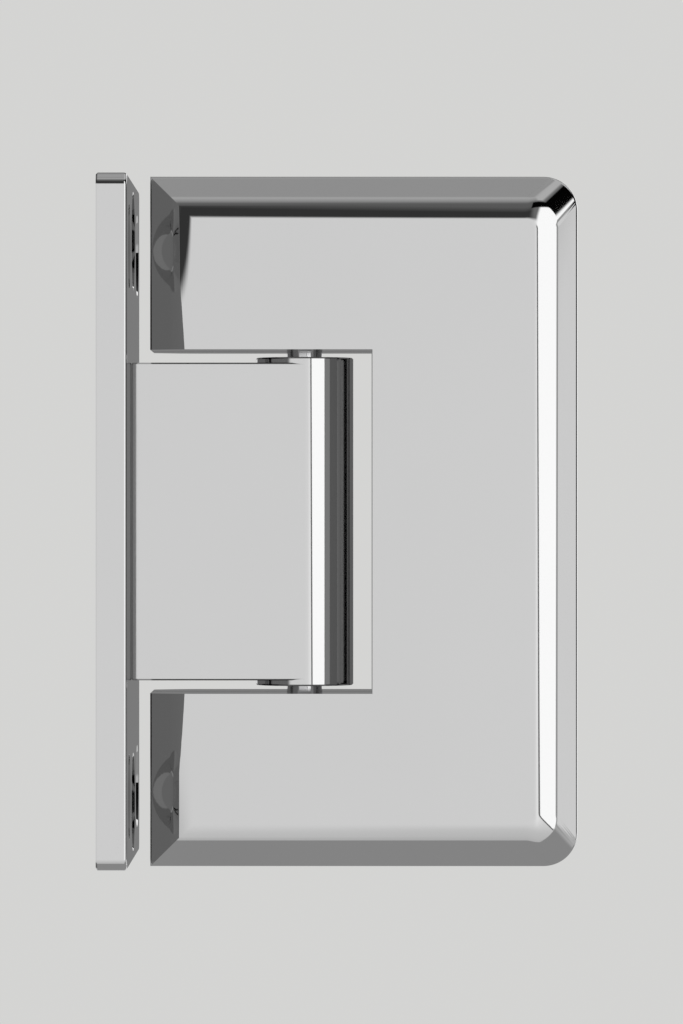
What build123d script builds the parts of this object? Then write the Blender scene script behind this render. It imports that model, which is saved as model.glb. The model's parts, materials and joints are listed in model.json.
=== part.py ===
from build123d import *
import math
import os

# Wall-to-glass shower door hinge with bevelled cover plates, all sizes in millimetres.
# X runs from the wall towards the glass, Y through the glass, Z up.
# The origin is the middle of the wall plate's back face, and the model is symmetric about z = 0.

os.makedirs("parts", exist_ok=True)

# Wall plate
plate_width = 50.8
plate_height = 89.5
plate_thickness = 4.0
plate_corner_radius = 1.5
plate_edge_radius = 0.4
plate_back_chamfer = 0.2

# Fixing holes to the wall: four at the corners and one in the middle of each end
corner_hole_radius = 2.75
corner_sink_radius = 5.5
corner_hole_side_inset = 9.4
corner_hole_end_inset = 9.15
middle_hole_radius = 3.25
middle_sink_radius = 6.5
middle_hole_end_inset = 7.75

# Hinge body: a slab that ends in a full-round knuckle
pin_standoff = 22.6
knuckle_radius = 6.45
body_height = 41.6
knuckle_rise = 0.75
body_edge_chamfer = 0.2
bore_radius = 4.1

# Screws that hold the hinge body to the wall plate from behind
body_screw_radius = 2.5
body_screw_head_radius = 4.7
body_screw_length = 14.0
body_screw_spacing = 31.0

# Pivot pin and its bushings
running_clearance = 0.05
end_float = 0.1
spigot_radius = 2.35
spigot_reach = 9.0
spigot_chamfer = 0.4
bushing_length = 6.0
cam_flat_depth = 0.65
cam_flat_height = 21.5

# Spring-loaded detent bar, in a pocket that is closed by the wall plate
pocket_width = 8.8
pocket_height = 20.4
pocket_corner_radius = 2.0
bar_thickness = 5.0
bar_side_clearance = 0.1
bar_cam_clearance = 0.1
spring_seat_depth = 2.0
spring_outer_radius = 3.2
spring_seat_clearance = 0.25
spring_wire = 1.1
spring_turns = 4.0
spring_spacing = 10.2
spring_end_gap = 0.02

# Glass and the clamp that grips it
glass_thickness = 10.0
gasket_thickness = 1.0
gasket_inset = 1.0
gasket_lug_gap = 0.5
cover_thickness = 5.5
cover_width = 55.8
cover_height = 90.0
cover_wall_gap = 2.5

# Bevel round each cover plate: a sloped facet that is blended into the flat face
bevel_depth = 2.46
bevel_angle = 31.0
bevel_blend_radius = 6.3
land_edge_radius = 0.5
cover_corner_radius = 4.5
mitre_radius = 5.7

# Notch for the knuckle, and the lug round it that fills the cut-out in the glass
knuckle_side_gap = 2.45
knuckle_end_gap = 0.87
lug_depth = 7.0
lug_height = 11.3
lug_corner_radius = 3.0
lug_split = 0.5
pin_seat_clearance = 0.03
pin_seat_end_gap = 0.5

# Screws that draw the two cover plates together, and those that lock the pin
clamp_screw_radius = 2.5
clamp_screw_head_radius = 4.8
clamp_screw_side = 10.5
clamp_screw_rise = 5.8
clamp_screw_tip_wall = 2.8
clamp_screw_tip_gap = 0.5
lock_screw_radius = 2.5
lock_screw_length = 7.0
lock_screw_point_gap = 0.05

# Common to all the screws
screw_hole_clearance = 0.25
thread_clearance = 0.05
screw_tip_chamfer = 0.5
socket_flats = 3.0
socket_depth = 2.4

# Places and sizes that follow from the values above
pin_x = plate_thickness + pin_standoff
knuckle_height = body_height + 2 * knuckle_rise
core_radius = bore_radius - running_clearance
core_length = knuckle_height - 2 * bushing_length - 2 * end_float
flat_distance = core_radius - cam_flat_depth
pocket_end = pin_x - flat_distance + bar_side_clearance
bar_face = pin_x - core_radius - bar_cam_clearance
bar_back = bar_face - bar_thickness
spring_seat = bar_back + spring_seat_depth

cover_left = plate_thickness + cover_wall_gap
cover_right = cover_left + cover_width
cover_inner = glass_thickness / 2 + gasket_thickness
cover_outer = cover_inner + cover_thickness
land_outer = cover_outer - bevel_depth
bevel_run = bevel_depth / math.tan(math.radians(bevel_angle))

notch_right = pin_x + knuckle_radius + knuckle_side_gap
notch_top = knuckle_height / 2 + knuckle_end_gap
lug_right = notch_right + lug_depth
lug_top = notch_top + lug_height
pin_length = 2 * (notch_top + spigot_reach)
screw_z = notch_top + clamp_screw_rise
clamp_screw_tip = cover_outer - clamp_screw_tip_wall

wall_front = Plane.YZ.offset(plate_thickness)
wall_back = Plane(origin=(0, 0, 0), x_dir=(0, 1, 0), z_dir=(-1, 0, 0))
body_back = Plane(origin=(plate_thickness, 0, 0), x_dir=(0, 1, 0), z_dir=(-1, 0, 0))
mid_glass = Plane.XZ
inner_front = Plane(origin=(0, cover_outer, 0), x_dir=(-1, 0, 0), z_dir=(0, 1, 0))


def finish(part, name):
    """Label a finished piece and write its file."""
    part.label = name
    export_step(part, f"parts/{name}.step")


def countersunk_screw(head, radius, head_radius, length):
    """Countersunk screw with a hexagon socket; head is the plane of its top, facing outwards."""
    profile = Plane(origin=head.origin, x_dir=head.x_dir, z_dir=-head.y_dir)
    with BuildPart() as screw:
        with BuildSketch(profile):
            with BuildLine():
                Polyline(
                    (0, 0),
                    (head_radius, 0),
                    (radius, radius - head_radius),
                    (radius, screw_tip_chamfer - length),
                    (radius - screw_tip_chamfer, -length),
                    (0, -length),
                    close=True,
                )
            make_face()
        revolve(axis=Axis(head.origin, head.z_dir))
        with BuildSketch(head):
            RegularPolygon(socket_flats / 2, 6, major_radius=False)
        extrude(amount=-socket_depth, mode=Mode.SUBTRACT)
    return screw.part


# Wall plate: flat bar with rounded corners, its front edge rounded and its back edge broken,
# three countersunk holes at each end for the wall, and two countersunk from behind for the body.
corner_hole_y = plate_width / 2 - corner_hole_side_inset
corner_hole_z = plate_height / 2 - corner_hole_end_inset
middle_hole_z = plate_height / 2 - middle_hole_end_inset

with BuildPart() as wall_plate:
    with BuildSketch(Plane.YZ):
        RectangleRounded(plate_width, plate_height, plate_corner_radius)
    extrude(amount=plate_thickness)
    fillet(wall_plate.faces().sort_by(Axis.X)[-1].edges(), plate_edge_radius)
    chamfer(wall_plate.faces().sort_by(Axis.X)[0].edges(), plate_back_chamfer)
    with Locations(wall_front):
        with GridLocations(2 * corner_hole_y, 2 * corner_hole_z, 2, 2):
            CounterSinkHole(corner_hole_radius, corner_sink_radius, counter_sink_angle=90)
        with GridLocations(0, 2 * middle_hole_z, 1, 2):
            CounterSinkHole(middle_hole_radius, middle_sink_radius, counter_sink_angle=90)
    with Locations(wall_back):
        with GridLocations(0, body_screw_spacing, 1, 2):
            CounterSinkHole(
                body_screw_radius + screw_hole_clearance,
                body_screw_head_radius,
                counter_sink_angle=90,
            )
finish(wall_plate.part, "wall_plate")


# Hinge body: brass slab with the knuckle at its outer end, bored through for the pin, with a
# pocket milled from the back for the detent bar and two tapped holes beside it.
with BuildPart() as slab:
    with BuildSketch(Plane.XY.offset(-body_height / 2)):
        with Locations((pin_x - pin_standoff / 2, 0)):
            Rectangle(pin_standoff, 2 * knuckle_radius)
        with Locations((pin_x, 0)):
            Circle(knuckle_radius)
    extrude(amount=body_height)
    ends = slab.faces().filter_by(Axis.Z).edges()
    back = slab.faces().sort_by(Axis.X)[0].edges()
    chamfer(ends + back.filter_by(Axis.Z), body_edge_chamfer)

with BuildPart() as hinge_body:
    with BuildSketch(Plane.XY.offset(-knuckle_height / 2)):
        with Locations((pin_x, 0)):
            Circle(knuckle_radius)
    extrude(amount=knuckle_height)
    chamfer(hinge_body.faces().filter_by(Axis.Z).edges(), body_edge_chamfer)
    add(slab.part)
    with Locations((pin_x, 0, knuckle_height / 2)):
        Hole(bore_radius)
    with BuildSketch(wall_front):
        RectangleRounded(pocket_width, pocket_height, pocket_corner_radius)
    extrude(amount=pocket_end - plate_thickness, mode=Mode.SUBTRACT)
    with Locations(body_back):
        with GridLocations(0, body_screw_spacing, 1, 2):
            Hole(
                body_screw_radius + thread_clearance,
                depth=body_screw_length - plate_thickness + clamp_screw_tip_gap,
            )
finish(hinge_body.part, "hinge_body")


# Body screws: countersunk flush with the wall plate's back, so that it lies flat on the wall.
for name, side in (("body_screw_upper", 1), ("body_screw_lower", -1)):
    head = Plane(
        origin=(0, 0, side * body_screw_spacing / 2), x_dir=(0, 1, 0), z_dir=(-1, 0, 0)
    )
    screw = countersunk_screw(
        head, body_screw_radius, body_screw_head_radius, body_screw_length
    )
    finish(screw, name)


# Pivot pin: a thick core that turns in the knuckle, milled with three flats at 90 degrees, and
# two thin spigots that run in the bushings and are gripped by the cover plates.
with BuildPart() as pivot_pin:
    with BuildSketch(Plane.XY.offset(-pin_length / 2)):
        with Locations((pin_x, 0)):
            Circle(spigot_radius)
    extrude(amount=pin_length)
    tips = pivot_pin.faces().filter_by(Axis.Z).edges()
    chamfer(tips, spigot_chamfer)
    with BuildSketch(Plane.XY.offset(-core_length / 2)):
        with Locations((pin_x, 0)):
            Circle(core_radius)
    extrude(amount=core_length)
    with BuildSketch(Plane.XY.offset(-cam_flat_height / 2)):
        with Locations((pin_x, 0)):
            Circle(core_radius)
        with Locations((pin_x + cam_flat_depth / 2, 0)):
            Rectangle(2 * core_radius - cam_flat_depth, 2 * flat_distance, mode=Mode.SUBTRACT)
    extrude(amount=cam_flat_height, mode=Mode.SUBTRACT)
finish(pivot_pin.part, "pivot_pin")


# Bushings: plastic sleeves pressed flush into both ends of the knuckle's bore. The pin's core
# stands on the lower one.
for name, bottom in (
    ("bushing_upper", knuckle_height / 2 - bushing_length),
    ("bushing_lower", -knuckle_height / 2),
):
    with BuildPart() as bushing:
        with BuildSketch(Plane.XY.offset(bottom)):
            with Locations((pin_x, 0)):
                Circle(bore_radius)
                Circle(spigot_radius + running_clearance, mode=Mode.SUBTRACT)
        extrude(amount=bushing_length)
    finish(bushing.part, name)


# Detent bar: plastic block that the springs push against the pin's flats. It stands where the
# round of the core holds it, and can give way a little further towards the wall plate.
with BuildPart() as detent_bar:
    with BuildSketch(Plane.YZ.offset(bar_back)):
        RectangleRounded(
            pocket_width - 2 * bar_side_clearance,
            pocket_height - 2 * bar_side_clearance,
            pocket_corner_radius - bar_side_clearance,
        )
    extrude(amount=bar_thickness)
    with Locations(Plane(origin=(bar_back, 0, 0), x_dir=(0, 1, 0), z_dir=(-1, 0, 0))):
        with GridLocations(0, spring_spacing, 1, 2):
            Hole(spring_outer_radius + spring_seat_clearance, depth=spring_seat_depth)
finish(detent_bar.part, "detent_bar")


# Detent springs: square-wire compression springs between the wall plate and the bar.
coil_radius = spring_outer_radius - spring_wire / 2
coil_start = plate_thickness + spring_wire / 2 + spring_end_gap
coil_length = spring_seat - spring_wire / 2 - spring_end_gap - coil_start

for name, side in (("detent_spring_upper", 1), ("detent_spring_lower", -1)):
    with BuildPart() as spring:
        with BuildLine() as coil:
            Helix(
                pitch=coil_length / spring_turns,
                height=coil_length,
                radius=coil_radius,
                center=(coil_start, 0, side * spring_spacing / 2),
                direction=(1, 0, 0),
            )
        with BuildSketch(Plane(origin=coil.line @ 0, z_dir=coil.line % 0, x_dir=(1, 0, 0))):
            Rectangle(spring_wire, spring_wire)
        sweep(path=coil.line, is_frenet=True)
    finish(spring.part, name)


def cover_plate():
    """The front cover plate without its screw holes: bevelled face, notch, lug and pin seat."""
    with BuildPart() as cover:
        # Section across the height, with a bevel on both sides
        with BuildSketch(Plane.XY.offset(-cover_height / 2)):
            with BuildLine():
                Polyline(
                    (cover_left, -cover_inner),
                    (cover_left, -land_outer),
                    (cover_left + bevel_run, -cover_outer),
                    (cover_right - bevel_run, -cover_outer),
                    (cover_right, -land_outer),
                    (cover_right, -cover_inner),
                    close=True,
                )
            make_face()
        extrude(amount=cover_height)
        # Section across the width, which mitres the bevels at the corners
        with BuildSketch(Plane.YZ.offset(cover_left)):
            with BuildLine():
                Polyline(
                    (-cover_inner, -cover_height / 2),
                    (-land_outer, -cover_height / 2),
                    (-cover_outer, -cover_height / 2 + bevel_run),
                    (-cover_outer, cover_height / 2 - bevel_run),
                    (-land_outer, cover_height / 2),
                    (-cover_inner, cover_height / 2),
                    close=True,
                )
            make_face()
        extrude(amount=cover_width, mode=Mode.INTERSECT)
        # The two corners away from the wall are rounded, first up the mitre, then along the land
        square = cover.edges().filter_by(Axis.X) + cover.edges().filter_by(Axis.Z)
        mitres = (cover.edges() - square - cover.edges().filter_by(Axis.Y)).group_by(Axis.X)[-1]
        fillet(mitres, mitre_radius)
        lands = cover.edges().filter_by(Axis.Y).group_by(Axis.X)[-1]
        fillet(lands, cover_corner_radius)
        # All four slopes run into the flat face in one blend
        face = cover.faces().filter_by(Axis.Y).sort_by(Axis.Y)[0]
        fillet(face.edges(), bevel_blend_radius)
        # The rim below the slopes is eased, along its straight runs and round the corners
        rims = cover.edges().group_by(Axis.Y)[-3]
        fillet(rims, land_edge_radius)
        # Lug behind the plate, filling half the cut-out in the glass
        with BuildSketch(mid_glass.offset(lug_split / 2)) as lug:
            with Locations(((cover_left + lug_right) / 2, 0)):
                Rectangle(lug_right - cover_left, 2 * lug_top)
            fillet(lug.vertices().group_by(Axis.X)[-1], lug_corner_radius)
        extrude(amount=cover_inner - lug_split / 2)
        # Notch for the knuckle, square through plate and lug
        with BuildSketch(mid_glass):
            with Locations(((cover_left + notch_right) / 2, 0)):
                Rectangle(notch_right - cover_left, 2 * notch_top)
        extrude(amount=cover_outer, mode=Mode.SUBTRACT)
        # Half-round seats for the pin's spigots
        with BuildSketch(Plane.XY.offset(-notch_top - spigot_reach - pin_seat_end_gap)):
            with Locations((pin_x, 0)):
                Circle(spigot_radius + pin_seat_clearance)
        extrude(amount=pin_length + 2 * pin_seat_end_gap, mode=Mode.SUBTRACT)
    return cover.part


# Outer cover plate: faces the room with an unbroken face, so its screw holes are blind and
# tapped from the glass side.
with BuildPart() as outer_cover:
    add(cover_plate())
    with Locations(Plane(origin=(pin_x, -lug_split / 2, 0), x_dir=(1, 0, 0), z_dir=(0, 1, 0))):
        with GridLocations(2 * clamp_screw_side, 2 * screw_z, 2, 2):
            Hole(
                clamp_screw_radius + thread_clearance,
                depth=clamp_screw_tip - lug_split / 2,
            )
finish(outer_cover.part, "outer_cover_plate")


# Inner cover plate: the mirror of the outer one, with four countersunk clamp screws and two
# tapped holes over the pin's spigots.
with BuildPart() as inner_cover:
    add(mirror(cover_plate(), about=Plane.XZ))
    with Locations(inner_front):
        with Locations((-pin_x, 0)):
            with GridLocations(2 * clamp_screw_side, 2 * screw_z, 2, 2):
                CounterSinkHole(
                    clamp_screw_radius + screw_hole_clearance,
                    clamp_screw_head_radius,
                    counter_sink_angle=90,
                )
            with GridLocations(0, 2 * screw_z, 1, 2):
                Hole(lock_screw_radius + thread_clearance, depth=cover_outer)
finish(inner_cover.part, "inner_cover_plate")


# Gaskets: clear sheet that follows the plate inside its edge and stops short of the lug.
for name, bottom in (
    ("outer_gasket", cover_inner),
    ("inner_gasket", -glass_thickness / 2),
):
    with BuildPart() as gasket:
        with BuildSketch(mid_glass.offset(bottom)) as outline:
            with Locations(((cover_left + cover_right) / 2, 0)):
                Rectangle(cover_width - 2 * gasket_inset, cover_height - 2 * gasket_inset)
            fillet(
                outline.vertices().group_by(Axis.X)[-1], cover_corner_radius - gasket_inset
            )
            with Locations(((cover_left + lug_right + gasket_lug_gap) / 2, 0)):
                Rectangle(
                    lug_right + gasket_lug_gap - cover_left,
                    2 * (lug_top + gasket_lug_gap),
                    mode=Mode.SUBTRACT,
                )
        extrude(amount=-gasket_thickness)
    finish(gasket.part, name)


# Clamp screws: two above the notch and two below it, heads flush in the inner cover plate.
for name, x_side, z_side in (
    ("clamp_screw_upper_wall", -1, 1),
    ("clamp_screw_upper_glass", 1, 1),
    ("clamp_screw_lower_wall", -1, -1),
    ("clamp_screw_lower_glass", 1, -1),
):
    head = Plane(
        origin=(pin_x + x_side * clamp_screw_side, cover_outer, z_side * screw_z),
        x_dir=(-1, 0, 0),
        z_dir=(0, 1, 0),
    )
    screw = countersunk_screw(
        head,
        clamp_screw_radius,
        clamp_screw_head_radius,
        cover_outer + clamp_screw_tip - clamp_screw_tip_gap,
    )
    finish(screw, name)


# Lock screws: socket set screws in the inner cover plate that hold the pin at its set angle.
for name, z_side in (("lock_screw_upper", 1), ("lock_screw_lower", -1)):
    point = spigot_radius + lock_screw_point_gap
    with BuildPart() as lock_screw:
        with BuildSketch(Plane(origin=(pin_x, point, z_side * screw_z), x_dir=(1, 0, 0), z_dir=(0, 1, 0))):
            Circle(lock_screw_radius)
        extrude(amount=lock_screw_length)
        chamfer(lock_screw.faces().filter_by(Axis.Y).edges(), screw_tip_chamfer)
        with BuildSketch(
            Plane(
                origin=(pin_x, point + lock_screw_length, z_side * screw_z),
                x_dir=(1, 0, 0),
                z_dir=(0, 1, 0),
            )
        ):
            RegularPolygon(socket_flats / 2, 6, major_radius=False)
        extrude(amount=-socket_depth, mode=Mode.SUBTRACT)
    finish(lock_screw.part, name)
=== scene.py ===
import json
import math

import bmesh
import bpy
from mathutils import Matrix, Vector


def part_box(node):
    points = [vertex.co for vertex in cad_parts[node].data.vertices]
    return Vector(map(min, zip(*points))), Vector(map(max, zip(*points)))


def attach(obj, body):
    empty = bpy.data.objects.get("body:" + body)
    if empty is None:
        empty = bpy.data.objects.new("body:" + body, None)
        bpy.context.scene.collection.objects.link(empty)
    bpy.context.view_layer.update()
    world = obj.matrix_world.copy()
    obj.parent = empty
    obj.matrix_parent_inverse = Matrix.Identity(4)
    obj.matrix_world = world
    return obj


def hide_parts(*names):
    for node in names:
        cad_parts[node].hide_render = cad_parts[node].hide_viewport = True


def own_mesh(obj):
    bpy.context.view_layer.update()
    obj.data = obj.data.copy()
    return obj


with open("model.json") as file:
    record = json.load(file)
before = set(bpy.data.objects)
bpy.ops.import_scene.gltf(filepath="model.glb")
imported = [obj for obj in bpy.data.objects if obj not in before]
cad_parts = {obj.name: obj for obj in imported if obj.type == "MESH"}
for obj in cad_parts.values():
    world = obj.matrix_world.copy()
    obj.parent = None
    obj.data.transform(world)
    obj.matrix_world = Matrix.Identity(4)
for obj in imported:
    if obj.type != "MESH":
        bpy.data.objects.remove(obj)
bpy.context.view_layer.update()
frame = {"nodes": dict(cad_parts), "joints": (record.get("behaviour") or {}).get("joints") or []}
nodes = frame["nodes"]
mm = 0.001


# Cover plates: two brass plates, bevelled on all four sides, ground, polished and plated with
# bright chrome. Each has a lug behind it that fills half the cut-out in the glass, and a notch
# for the knuckle. The outer one is unbroken in front; the inner one takes the screws.
def bright_chrome():
    """Bright chrome on polished brass, with a trace of haze from wiping."""
    finish = bpy.data.materials.new("bright_chrome")
    finish.use_nodes = True
    tree = finish.node_tree
    new, link = tree.nodes.new, tree.links.new
    shader = tree.nodes["Principled BSDF"]
    shader.inputs["Metallic"].default_value = 1
    place = new("ShaderNodeTexCoord").outputs["Object"]

    cloud = new("ShaderNodeTexNoise")
    cloud.inputs["Scale"].default_value = 45
    cloud.inputs["Detail"].default_value = 5
    link(place, cloud.inputs["Vector"])
    tone = new("ShaderNodeValToRGB")
    tone.color_ramp.elements[0].position = 0.3
    tone.color_ramp.elements[0].color = (0.795, 0.795, 0.795, 1)
    tone.color_ramp.elements[1].position = 0.7
    tone.color_ramp.elements[1].color = (0.805, 0.805, 0.805, 1)
    link(cloud.outputs["Fac"], tone.inputs["Fac"])
    link(tone.outputs["Color"], shader.inputs["Base Color"])

    wiping = new("ShaderNodeMapping")
    wiping.inputs["Scale"].default_value = (1, 1, 0.2)
    link(place, wiping.inputs["Vector"])
    smear = new("ShaderNodeTexNoise")
    smear.inputs["Scale"].default_value = 260
    smear.inputs["Detail"].default_value = 6
    link(wiping.outputs["Vector"], smear.inputs["Vector"])
    haze = new("ShaderNodeMapRange")
    haze.inputs["From Min"].default_value = 0.35
    haze.inputs["From Max"].default_value = 0.75
    haze.inputs["To Min"].default_value = 0.03
    haze.inputs["To Max"].default_value = 0.06
    link(smear.outputs["Fac"], haze.inputs["Value"])
    link(haze.outputs["Result"], shader.inputs["Roughness"])
    return finish


def saw(body, point, normal):
    """Cut the body through a plane, throw away the side that the normal points to, and close it."""
    everything = body.verts[:] + body.edges[:] + body.faces[:]
    bmesh.ops.bisect_plane(
        body, geom=everything, dist=1e-8, plane_co=point, plane_no=normal, clear_outer=True
    )
    rim = [edge for edge in body.edges if edge.is_boundary]
    bmesh.ops.holes_fill(body, edges=rim, sides=0)


def block(low, high):
    """Plain block between two corners, to be cut further."""
    body = bmesh.new()
    bmesh.ops.create_cube(body, size=1)
    size = Vector(high) - Vector(low)
    middle = (Vector(high) + Vector(low)) / 2
    bmesh.ops.scale(body, vec=size, verts=body.verts)
    bmesh.ops.translate(body, vec=middle, verts=body.verts)
    return body


def turned(profile, steps=64):
    """Lathe shape round Z through (radius, height) points that start and end on the axis."""
    body = bmesh.new()
    line = [body.verts.new((radius, 0, height)) for radius, height in profile]
    edges = [body.edges.new(pair) for pair in zip(line, line[1:])]
    bmesh.ops.spin(
        body, geom=line + edges, cent=(0, 0, 0), axis=(0, 0, 1), angle=2 * math.pi,
        steps=steps, use_merge=True,
    )
    bmesh.ops.remove_doubles(body, verts=body.verts, dist=1e-7)
    bmesh.ops.recalc_face_normals(body, faces=body.faces)
    return body


def piece(body, name, finish=None):
    """Turn a finished bmesh into an object of that name."""
    mesh = bpy.data.meshes.new(name)
    body.to_mesh(mesh)
    body.free()
    thing = bpy.data.objects.new(name, mesh)
    bpy.context.scene.collection.objects.link(thing)
    if finish:
        mesh.materials.append(finish)
    return thing


def work(thing, tool_body, operation):
    """Add a tool's shape to a piece, or carve it out, and throw the tool away."""
    tool = piece(tool_body, "tool")
    change = thing.modifiers.new("work", "BOOLEAN")
    change.operation = operation
    change.solver = "EXACT"
    change.object = tool
    bpy.context.view_layer.update()
    graph = bpy.context.evaluated_depsgraph_get()
    mesh = bpy.data.meshes.new_from_object(thing.evaluated_get(graph))
    thing.modifiers.clear()
    mesh.name = thing.name
    thing.data = mesh
    bpy.data.objects.remove(tool)


def polish(thing, crease=25):
    """Smooth shading that keeps the flat faces flat and the edges above the crease angle sharp."""
    mesh = thing.data
    mesh.polygons.foreach_set("use_smooth", [True] * len(mesh.polygons))
    mesh.set_sharp_from_angle(angle=math.radians(crease))
    shade = thing.modifiers.new("polish", "WEIGHTED_NORMAL")
    shade.keep_sharp = True


chrome = bright_chrome()
pin_x = next(joint["pos_m"][0] for joint in frame["joints"] if joint["name"] == "door_swing")
cover_low, cover_high = (Vector(corner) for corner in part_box("outer_cover_plate"))
cover_thickness = 5.5 * mm
bevel_depth = 2.46 * mm
bevel_slope = math.radians(31)
blend_radius = 6.3 * mm
mitre_radius = 5.7 * mm
corner_radius = 4.5 * mm
rim_radius = 0.5 * mm
notch_right = 35.5 * mm
notch_top = 22.42 * mm
lug_right = notch_right + 7 * mm
lug_top = notch_top + 11.3 * mm
lug_corner_radius = 3 * mm
pin_seat_radius = 2.38 * mm
pin_seat_end = notch_top + 9.5 * mm
screw_side = 10.5 * mm
screw_rise = 28.22 * mm


def cover_plate(name):
    """Outer cover plate: bevelled face, rounded corners, lug, notch and pin seat."""
    low, high = cover_low, cover_high
    face_y = low.y
    back_y = face_y + cover_thickness
    spare = 9 * mm
    body = block((low.x - spare, face_y, low.z - spare), (high.x + spare, back_y, high.z + spare))

    # Four slopes
    across, out = math.sin(bevel_slope), math.cos(bevel_slope)
    land_y = face_y + bevel_depth
    saw(body, (low.x, land_y, 0), (-across, -out, 0))
    saw(body, (high.x, land_y, 0), (across, -out, 0))
    saw(body, (0, land_y, low.z), (0, -out, -across))
    saw(body, (0, land_y, high.z), (0, -out, across))

    # The two mitres away from the wall are rounded
    def is_mitre(edge):
        top, foot = sorted(edge.verts, key=lambda vert: vert.co.y)
        return foot.co.y - top.co.y > 1 * mm and top.co.x > 0.03

    between_slopes = math.acos(out * out)
    width = mitre_radius * math.tan(between_slopes / 2)
    bmesh.ops.bevel(
        body, geom=[edge for edge in body.edges if is_mitre(edge)], offset=width,
        offset_type="OFFSET", segments=14, profile=0.5, affect="EDGES", material=-1,
    )

    # The slopes run into the flat face in one blend
    face = min(body.faces, key=lambda f: f.calc_center_median().y)
    bmesh.ops.bevel(
        body, geom=face.edges[:], offset=blend_radius * math.tan(bevel_slope / 2),
        offset_type="OFFSET", segments=16, profile=0.5, affect="EDGES", material=-1,
    )

    # Outline, with the two corners away from the wall rounded
    saw(body, (low.x, 0, 0), (-1, 0, 0))
    saw(body, (high.x, 0, 0), (1, 0, 0))
    saw(body, (0, 0, low.z), (0, 0, -1))
    saw(body, (0, 0, high.z), (0, 0, 1))
    facets = 20
    for end in (1, -1):
        for number in range(facets):
            angle = math.radians(90) * (number + 0.5) / facets
            normal = Vector((math.cos(angle), 0, end * math.sin(angle)))
            centre = Vector((high.x - corner_radius, 0, end * (high.z - corner_radius)))
            saw(body, centre + normal * corner_radius, normal)

    # The rim between the slopes and the sides is eased
    def is_rim(edge):
        faces = edge.link_faces
        if len(faces) != 2:
            return False
        fronts = sorted(abs(f.normal.y) for f in faces)
        return fronts[0] < 0.01 and 0.5 < fronts[1] < 0.97

    rims = [edge for edge in body.edges if is_rim(edge)]
    bmesh.ops.bevel(
        body, geom=rims, offset=rim_radius * math.tan((math.pi / 2 - bevel_slope) / 2),
        offset_type="OFFSET", segments=4, profile=0.5, affect="EDGES", material=-1,
    )
    bmesh.ops.remove_doubles(body, verts=body.verts, dist=1e-6)
    bmesh.ops.recalc_face_normals(body, faces=body.faces)
    plate = piece(body, name, chrome)

    # Lug behind the plate
    lug = block((low.x, face_y + cover_thickness / 2, -lug_top), (lug_right, high.y, lug_top))
    corners = [edge for edge in lug.edges
               if all(vert.co.x > lug_right - 1 * mm for vert in edge.verts)
               and abs(edge.verts[0].co.y - edge.verts[1].co.y) > 1 * mm]
    bmesh.ops.bevel(
        lug, geom=corners, offset=lug_corner_radius, offset_type="OFFSET", segments=12,
        profile=0.5, affect="EDGES", material=-1,
    )
    work(plate, lug, "UNION")
    # Notch for the knuckle, square through plate and lug
    notch = block((low.x - spare, face_y - spare, -notch_top), (notch_right, spare, notch_top))
    work(plate, notch, "DIFFERENCE")
    # Half-round seats for the pin
    seat = turned([(0, -pin_seat_end), (pin_seat_radius, -pin_seat_end),
                   (pin_seat_radius, pin_seat_end), (0, pin_seat_end)])
    bmesh.ops.translate(seat, vec=(pin_x, 0, 0), verts=seat.verts)
    work(plate, seat, "DIFFERENCE")
    return plate


outer_cover = cover_plate("outer_cover")
polish(outer_cover)
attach(outer_cover, "door_side")
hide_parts("outer_cover_plate")

# Inner cover plate: the outer one's mirror image, in the same chromed brass. It is drilled and
# countersunk for the four clamp screws, with a tapped hole for each lock screw between them.
inner_cover = cover_plate("inner_cover")
turn = bmesh.new()
turn.from_mesh(inner_cover.data)
bmesh.ops.scale(turn, vec=(1, -1, 1), verts=turn.verts)
bmesh.ops.recalc_face_normals(turn, faces=turn.faces)
turn.to_mesh(inner_cover.data)
turn.free()
clear = 1 * mm
screw_hole_radius = 2.75 * mm
screw_hole_depth = 13 * mm
lock_hole_radius = 2.55 * mm
lock_hole_depth = 11.4 * mm
screw_hole = [(0, clear), (5.8 * mm, clear), (screw_hole_radius, -2.05 * mm),
              (screw_hole_radius, -screw_hole_depth), (0, -screw_hole_depth)]
lock_hole = [(0, clear), (lock_hole_radius, clear), (lock_hole_radius, -lock_hole_depth),
             (0, -lock_hole_depth)]
drilled_face_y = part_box("inner_cover_plate")[1][1]
inwards = Matrix.Rotation(-math.pi / 2, 3, "X")
for end in (1, -1):
    for side, profile in ((-screw_side, screw_hole), (0, lock_hole), (screw_side, screw_hole)):
        drill = turned(profile)
        bmesh.ops.rotate(drill, cent=(0, 0, 0), matrix=inwards, verts=drill.verts)
        place = (pin_x + side, drilled_face_y, end * screw_rise)
        bmesh.ops.translate(drill, vec=place, verts=drill.verts)
        work(inner_cover, drill, "DIFFERENCE")
polish(inner_cover)
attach(inner_cover, "door_side")
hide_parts("inner_cover_plate")


# Wall plate: flat brass bar, chromed, its front edge rounded. Six countersunk holes take the
# screws to the wall, and two more behind take the screws that hold the hinge body.
nodes["wall_plate"].data.materials[0] = chrome


# Hinge body: brass slab with a full-round knuckle at its outer end, chromed like the plates. It is
# screwed to the wall plate from behind.
nodes["hinge_body"].data.materials[0] = chrome


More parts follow.
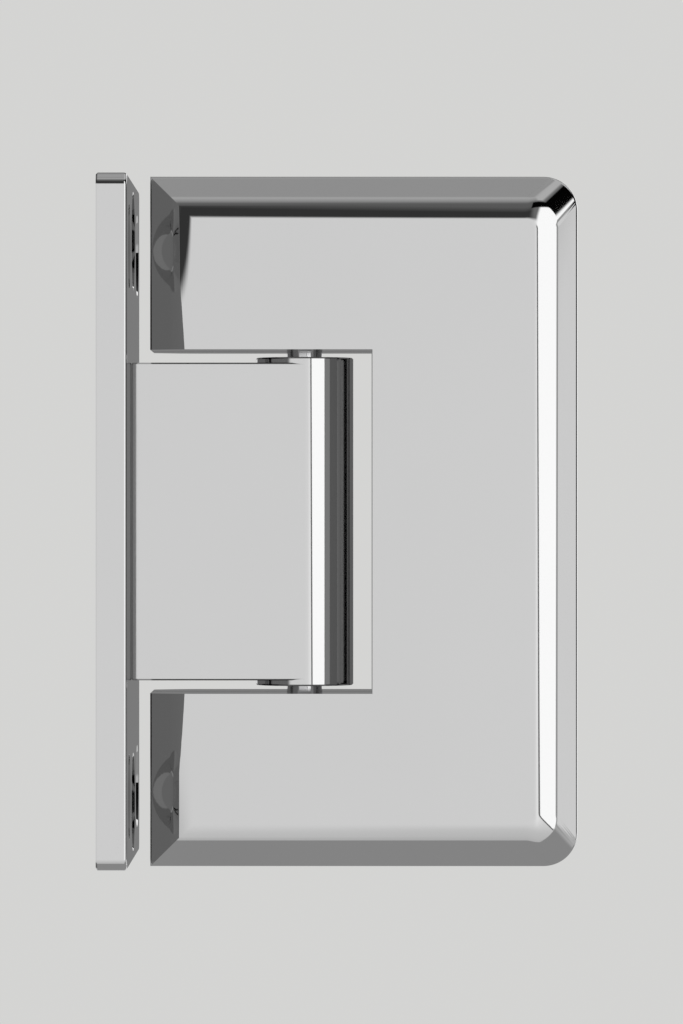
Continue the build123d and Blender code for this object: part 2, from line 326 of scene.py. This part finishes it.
# Pivot pin: turned stainless steel, ground bright, with fine rings left by the tool. Its ends sit
# between the covers' lugs, and its core turns in the hinge body.
def turned_steel(name, tone, rough, ring_pitch, along, place=(0, 0, 0)):
    """Stainless steel with fine turning rings square to an axis."""
    finish = bpy.data.materials.new(name)
    finish.use_nodes = True
    tree = finish.node_tree
    new, link = tree.nodes.new, tree.links.new
    shader = tree.nodes["Principled BSDF"]
    shader.inputs["Metallic"].default_value = 1
    spot = new("ShaderNodeTexCoord").outputs["Object"]
    centre = new("ShaderNodeMapping")
    centre.inputs["Location"].default_value = place
    link(spot, centre.inputs["Vector"])
    spread = [2.0, 2.0, 2.0]
    spread[along] = 1 / ring_pitch
    stretch = new("ShaderNodeMapping")
    stretch.inputs["Scale"].default_value = spread
    link(centre.outputs["Vector"], stretch.inputs["Vector"])
    rings = new("ShaderNodeTexNoise")
    rings.inputs["Scale"].default_value = 1
    rings.inputs["Detail"].default_value = 4
    link(stretch.outputs["Vector"], rings.inputs["Vector"])
    shade = new("ShaderNodeValToRGB")
    shade.color_ramp.elements[0].position = 0.35
    shade.color_ramp.elements[0].color = (tone * 0.93, tone * 0.93, tone * 0.94, 1)
    shade.color_ramp.elements[1].position = 0.65
    shade.color_ramp.elements[1].color = (tone, tone, tone * 1.01, 1)
    link(rings.outputs["Fac"], shade.inputs["Fac"])
    link(shade.outputs["Color"], shader.inputs["Base Color"])
    gloss = new("ShaderNodeMapRange")
    gloss.inputs["To Min"].default_value = rough * 0.7
    gloss.inputs["To Max"].default_value = rough * 1.4
    link(rings.outputs["Fac"], gloss.inputs["Value"])
    link(gloss.outputs["Result"], shader.inputs["Roughness"])
    groove = new("ShaderNodeBump")
    groove.inputs["Strength"].default_value = 0.08
    groove.inputs["Distance"].default_value = 0.02 * mm
    link(rings.outputs["Fac"], groove.inputs["Height"])
    link(groove.outputs["Normal"], shader.inputs["Normal"])
    return finish


nodes["pivot_pin"].data.materials[0] = turned_steel("pin_bright", 0.74, 0.10, 0.12 * mm, 2)


# Clamp and body screws: bright stainless steel with turned countersunk heads and hexagon sockets.
# Four clamp the covers on the glass, and two hold the hinge body from behind the wall plate.
screw_bright = turned_steel("screw_bright", 0.60, 0.22, 0.15 * mm, 1)
for name in ("clamp_screw_upper_wall", "clamp_screw_upper_glass", "clamp_screw_lower_wall",
             "clamp_screw_lower_glass"):
    nodes[name].data.materials[0] = screw_bright
body_screw_bright = turned_steel("body_screw_bright", 0.58, 0.24, 0.15 * mm, 0)
for name in ("body_screw_upper", "body_screw_lower"):
    nodes[name].data.materials[0] = body_screw_bright


def grained(name, dark, light, grain, low, high, metallic=0.0, relief=0.0):
    """Moulded or dipped surface: two close tones, broken up by a fine grain."""
    finish = bpy.data.materials.new(name)
    finish.use_nodes = True
    tree = finish.node_tree
    new, link = tree.nodes.new, tree.links.new
    shader = tree.nodes["Principled BSDF"]
    shader.inputs["Metallic"].default_value = metallic
    spot = new("ShaderNodeTexCoord").outputs["Object"]
    speck = new("ShaderNodeTexNoise")
    speck.inputs["Scale"].default_value = grain
    speck.inputs["Detail"].default_value = 5
    link(spot, speck.inputs["Vector"])
    shade = new("ShaderNodeValToRGB")
    shade.color_ramp.elements[0].position = 0.35
    shade.color_ramp.elements[0].color = (*dark, 1)
    shade.color_ramp.elements[1].position = 0.65
    shade.color_ramp.elements[1].color = (*light, 1)
    link(speck.outputs["Fac"], shade.inputs["Fac"])
    link(shade.outputs["Color"], shader.inputs["Base Color"])
    gloss = new("ShaderNodeMapRange")
    gloss.inputs["To Min"].default_value = low
    gloss.inputs["To Max"].default_value = high
    link(speck.outputs["Fac"], gloss.inputs["Value"])
    link(gloss.outputs["Result"], shader.inputs["Roughness"])
    if relief:
        skin = new("ShaderNodeBump")
        skin.inputs["Strength"].default_value = relief
        skin.inputs["Distance"].default_value = 0.03 * mm
        link(speck.outputs["Fac"], skin.inputs["Height"])
        link(skin.outputs["Normal"], shader.inputs["Normal"])
    return finish


# Lock screws: socket set screws in black oxide, threaded through the inner cover against the pin,
# which they hold at its set angle.
black_oxide = grained(
    "black_oxide", (0.035, 0.035, 0.038), (0.06, 0.06, 0.065), grain=900, low=0.32, high=0.5,
    metallic=0.6, relief=0.1,
)
for name in ("lock_screw_upper", "lock_screw_lower"):
    nodes[name].data.materials[0] = black_oxide


# Detent springs: drawn steel wire, coiled, in pockets behind the bar. They stand on the wall
# plate. In use they shorten as the bar is pressed towards it; each here is a fixed copy of its
# coil.
spring_wire = turned_steel("spring_wire", 0.45, 0.3, 0.3 * mm, 0)
for name in ("detent_spring_upper", "detent_spring_lower"):
    coil = bmesh.new()
    coil.from_mesh(nodes[name].data)
    bmesh.ops.remove_doubles(coil, verts=coil.verts, dist=0.0005 * mm)
    spring = piece(coil, name.replace("detent_", "pressed_"), spring_wire)
    spring.data.shade_smooth()
    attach(spring, "wall_side")
    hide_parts(name)
    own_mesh(spring)


# Detent bar: machined black acetal with a fine milled grain, pressed on the pin's flats by the
# two springs, so that the door comes to rest closed.
nodes["detent_bar"].data.materials[0] = grained(
    "black_acetal", (0.02, 0.02, 0.022), (0.03, 0.03, 0.033), grain=700, low=0.35, high=0.5,
    relief=0.15,
)


# Bushings: natural acetal rings, pressed into both ends of the knuckle's bore, for the pin to
# turn in.
acetal = grained(
    "natural_acetal", (0.70, 0.69, 0.65), (0.78, 0.77, 0.73), grain=600, low=0.35, high=0.5,
    relief=0.1,
)
for name in ("bushing_upper", "bushing_lower"):
    nodes[name].data.materials[0] = acetal


# Gaskets: pale vinyl sheet, one behind each cover, so that no metal touches the glass.
vinyl = grained(
    "clear_vinyl", (0.60, 0.61, 0.60), (0.68, 0.69, 0.68), grain=500, low=0.4, high=0.55,
    relief=0.2,
)
for name in ("outer_gasket", "inner_gasket"):
    nodes[name].data.materials[0] = vinyl


# Floor: pale round table top below the hinge, which fades into the backdrop. It glows a little,
# because the panels above it are partly dark, and the chrome doesn't mirror it.
floor_level = -0.12
floor_radius = 0.42
floor_x = 0.03
top = bmesh.new()
bmesh.ops.create_circle(top, cap_ends=True, segments=96, radius=floor_radius)
bmesh.ops.translate(top, vec=(floor_x, 0, floor_level), verts=top.verts)


def pale_floor():
    """Matt pale board with a soft cloud in its tone, and a rim that fades out."""
    finish = bpy.data.materials.new("pale_floor")
    finish.use_nodes = True
    tree = finish.node_tree
    new, link = tree.nodes.new, tree.links.new
    shader = tree.nodes["Principled BSDF"]
    shader.inputs["Roughness"].default_value = 0.8
    shader.inputs["Emission Color"].default_value = (0.39, 0.39, 0.385, 1)
    shader.inputs["Emission Strength"].default_value = 1
    spot = new("ShaderNodeTexCoord").outputs["Object"]
    cloud = new("ShaderNodeTexNoise")
    cloud.inputs["Scale"].default_value = 12
    link(spot, cloud.inputs["Vector"])
    shade = new("ShaderNodeValToRGB")
    shade.color_ramp.elements[0].color = (0.72, 0.72, 0.71, 1)
    shade.color_ramp.elements[1].color = (0.76, 0.76, 0.75, 1)
    link(cloud.outputs["Fac"], shade.inputs["Fac"])
    link(shade.outputs["Color"], shader.inputs["Base Color"])
    centre = new("ShaderNodeMapping")
    centre.inputs["Location"].default_value = (-floor_x, 0, -floor_level)
    link(spot, centre.inputs["Vector"])
    reach = new("ShaderNodeVectorMath")
    reach.operation = "LENGTH"
    link(centre.outputs["Vector"], reach.inputs[0])
    fade = new("ShaderNodeMapRange")
    fade.interpolation_type = "SMOOTHSTEP"
    fade.inputs["From Min"].default_value = 0.12
    fade.inputs["From Max"].default_value = floor_radius - 0.02
    fade.inputs["To Min"].default_value = 1
    fade.inputs["To Max"].default_value = 0
    link(reach.outputs["Value"], fade.inputs["Value"])
    link(fade.outputs["Result"], shader.inputs["Alpha"])
    return finish


floor = piece(top, "floor", pale_floor())
floor.visible_glossy = False


# Camera: level with the middle of the hinge and square to the door, with a long lens.
eye_place = (0.03147, -0.8444, 0.001245)
eye_lens = 225.05
eye = bpy.data.cameras.new("eye")
eye.lens = eye_lens
eye.sensor_width = 36
camera = bpy.data.objects.new("camera", eye)
camera.location = eye_place
camera.rotation_euler = (math.pi / 2, 0, 0)
bpy.context.scene.collection.objects.link(camera)
bpy.context.scene.camera = camera


# Studio light: a soft white box to the right, a black flag above it, a dark floor line and pale
# walls, laid out in degrees to the right and up from the way the camera looks. The back mirrors
# the front. Light levels are on the scale of the backdrop's, and 1 is a bright white panel.
def studio_light():
    """World light made of soft-edged panels, with a plain backdrop for the camera."""
    world = bpy.data.worlds.new("studio_light")
    world.use_nodes = True
    bpy.context.scene.world = world
    tree = world.node_tree
    tree.nodes.clear()
    new, link = tree.nodes.new, tree.links.new

    def calc(operation, *values):
        """Result of one sum on numbers or sockets."""
        node = new("ShaderNodeMath")
        node.operation = operation
        for socket, value in zip(node.inputs, values):
            if isinstance(value, (int, float)):
                socket.default_value = value
            else:
                link(value, socket)
        return node.outputs[0]

    def past(value, limit, soft):
        """From 0 to 1 as the value passes a limit, over a soft edge."""
        node = new("ShaderNodeMapRange")
        node.interpolation_type = "SMOOTHSTEP"
        link(value, node.inputs["Value"])
        node.inputs["From Min"].default_value = limit - soft / 2
        node.inputs["From Max"].default_value = limit + soft / 2
        return node.outputs["Result"]

    def slant(x_part, up_part):
        """Degrees along a slanting direction."""
        return calc("ADD", calc("MULTIPLY", right, x_part), calc("MULTIPLY", up, up_part))

    def both(*parts):
        """Where all of the masks hold."""
        result = parts[0]
        for part in parts[1:]:
            result = calc("MULTIPLY", result, part)
        return result

    def flip(value):
        """Where the mask doesn't hold."""
        return calc("SUBTRACT", 1, value)

    def lay(under, over, where):
        """Lay a light level over another where the mask says so."""
        return calc("ADD", calc("MULTIPLY", under, flip(where)), calc("MULTIPLY", over, where))

    def levels(value, stops):
        """Light level along a value, through (value, level) stops."""
        node = new("ShaderNodeValToRGB")
        low, high = stops[0][0], stops[-1][0]
        link(calc("DIVIDE", calc("SUBTRACT", value, low), high - low), node.inputs[0])
        marks = node.color_ramp.elements
        while len(marks) < len(stops):
            marks.new(0.5)
        for mark, (place, light) in zip(marks, stops):
            mark.position = (place - low) / (high - low)
            mark.color = (light, light, light, 1)
        return node.outputs[0]

    direction = new("ShaderNodeTexCoord").outputs["Generated"]
    split = new("ShaderNodeSeparateXYZ")
    link(direction, split.inputs[0])
    x, y, z = split.outputs
    depth = calc("ABSOLUTE", y)
    across = calc("SQRT", calc("ADD", calc("MULTIPLY", x, x), calc("MULTIPLY", z, z)))
    tilt = calc("MULTIPLY", calc("ARCTAN2", across, depth), 180 / math.pi)
    right = calc("MULTIPLY", tilt, calc("DIVIDE", x, across))
    up = calc("MULTIPLY", tilt, calc("DIVIDE", z, across))
    down = calc("MULTIPLY", up, -1)

    # Pale wall, brighter beside the box and falling off downwards, dark to the left
    wall = levels(right, [
        (-90, 0.75), (-82, 0.6), (-74, 0.15), (-42, 0.13), (-38.5, 0.2), (-33.5, 0.66),
        (-30, 0.745), (0, 0.746), (8, 0.78), (14, 0.93), (25, 0.80), (60, 0.74), (67, 0.74),
        (73, 0.45), (90, 0.45),
    ])
    below = levels(up, [
        (-90, 0.5), (-41, 0.53), (-36, 0.57), (-21, 0.64), (-5, 0.746), (0, 0.746),
    ])
    room = lay(wall, below, both(past(down, 14, 24), past(right, -36, 4)))
    # Dark floor line, low down
    corner = slant(0.63, -0.776)
    low_edge = flip(both(flip(past(down, 43.8, 1.4)), flip(past(corner, 44.8, 1.4))))
    low_tone = lay(0.285, 0.50, both(past(right, 50, 9), past(up, -24, 8)))
    room = lay(room, low_tone, low_edge)

    # Above: dark field that lightens upwards
    above = levels(up, [
        (0, 0.037), (25, 0.037), (30, 0.08), (34, 0.115), (41, 0.125), (43, 0.16), (45.6, 0.26),
        (48, 0.32), (53, 0.40), (57.5, 0.44), (61, 0.354), (65, 0.335), (90, 0.40),
    ])
    above = lay(above, 0.5, both(past(right, 12, 8), past(up, 46, 4)))
    field = lay(above, 0.16, both(past(right, 8, 8), flip(past(up, 31, 3))))
    room = lay(room, field, past(up, 11.5, 6))

    # Black flag above the box and down beside its top right edge
    slope = slant(0.583, 0.813)
    below_flag_top = flip(past(up, 41.5, 2))
    flag = both(past(right, 5.0, 1.6), below_flag_top, past(up, 30.2, 2.2))
    flag_side = both(below_flag_top, past(slope, 44.5, 1.0), past(right, 26, 4))
    room = lay(room, 0.001, calc("MAXIMUM", flag, flag_side))

    # White box with its frame
    box_foot = calc("SUBTRACT", slant(0.6, 0.8), 9.1)
    box_side = calc("SUBTRACT", slant(0.757, 0.654), 12.4)
    box_edge = calc("MINIMUM", box_foot, box_side)
    box_end = slant(0.902, -0.431)
    frame_line = both(
        past(box_edge, -1.2, 0.8), flip(past(box_edge, 1.2, 0.8)), flip(past(box_end, 54, 2)),
        flip(past(up, 5, 3)), past(up, -21, 2),
    )
    room = lay(room, 0.13, frame_line)
    frame_end = both(
        past(box_end, 48.6, 1.5), flip(past(box_end, 55.8, 1.5)), past(box_edge, -1, 0.8),
        flip(past(slope, 44.5, 1.5)), past(up, -16, 6),
    )
    room = lay(room, 0.34, frame_end)
    box = both(
        past(slant(0.983, -0.182), 11.6, 5),
        flip(past(up, 29.8, 2.4)),
        flip(past(slope, 44.0, 1.4)),
        flip(past(box_end, 49.8, 2.4)),
        past(box_edge, 1.3, 0.9),
        past(up, -17.5, 1.5),
    )
    room = lay(room, 1.18, box)

    panels = new("ShaderNodeBackground")
    backdrop = new("ShaderNodeBackground")
    backdrop.inputs["Color"].default_value = (0.66, 0.66, 0.65, 1)
    path = new("ShaderNodeLightPath")
    # What chrome shows of other chrome is darker than the room itself
    second = past(path.outputs["Ray Depth"], 2.5, 0.2)
    dim = levels(right, [
        (-90, 0.13), (-75, 0.16), (-65, 0.28), (-45, 0.28), (-36, 0.22), (0, 0.2), (30, 0.18),
        (90, 0.16),
    ])
    dim = lay(dim, 0.15, past(y, 0.0, 0.1))
    room = lay(room, dim, second)
    # Dark patch straight behind the hinge
    room = lay(room, 0.2, past(y, 0.9925, 0.009))
    link(room, panels.inputs["Color"])
    shown = new("ShaderNodeMixShader")
    link(path.outputs["Is Camera Ray"], shown.inputs[0])
    link(panels.outputs[0], shown.inputs[1])
    link(backdrop.outputs[0], shown.inputs[2])
    output = new("ShaderNodeOutputWorld")
    link(shown.outputs[0], output.inputs["Surface"])


studio_light()
bpy.context.scene.view_settings.view_transform = "Standard"
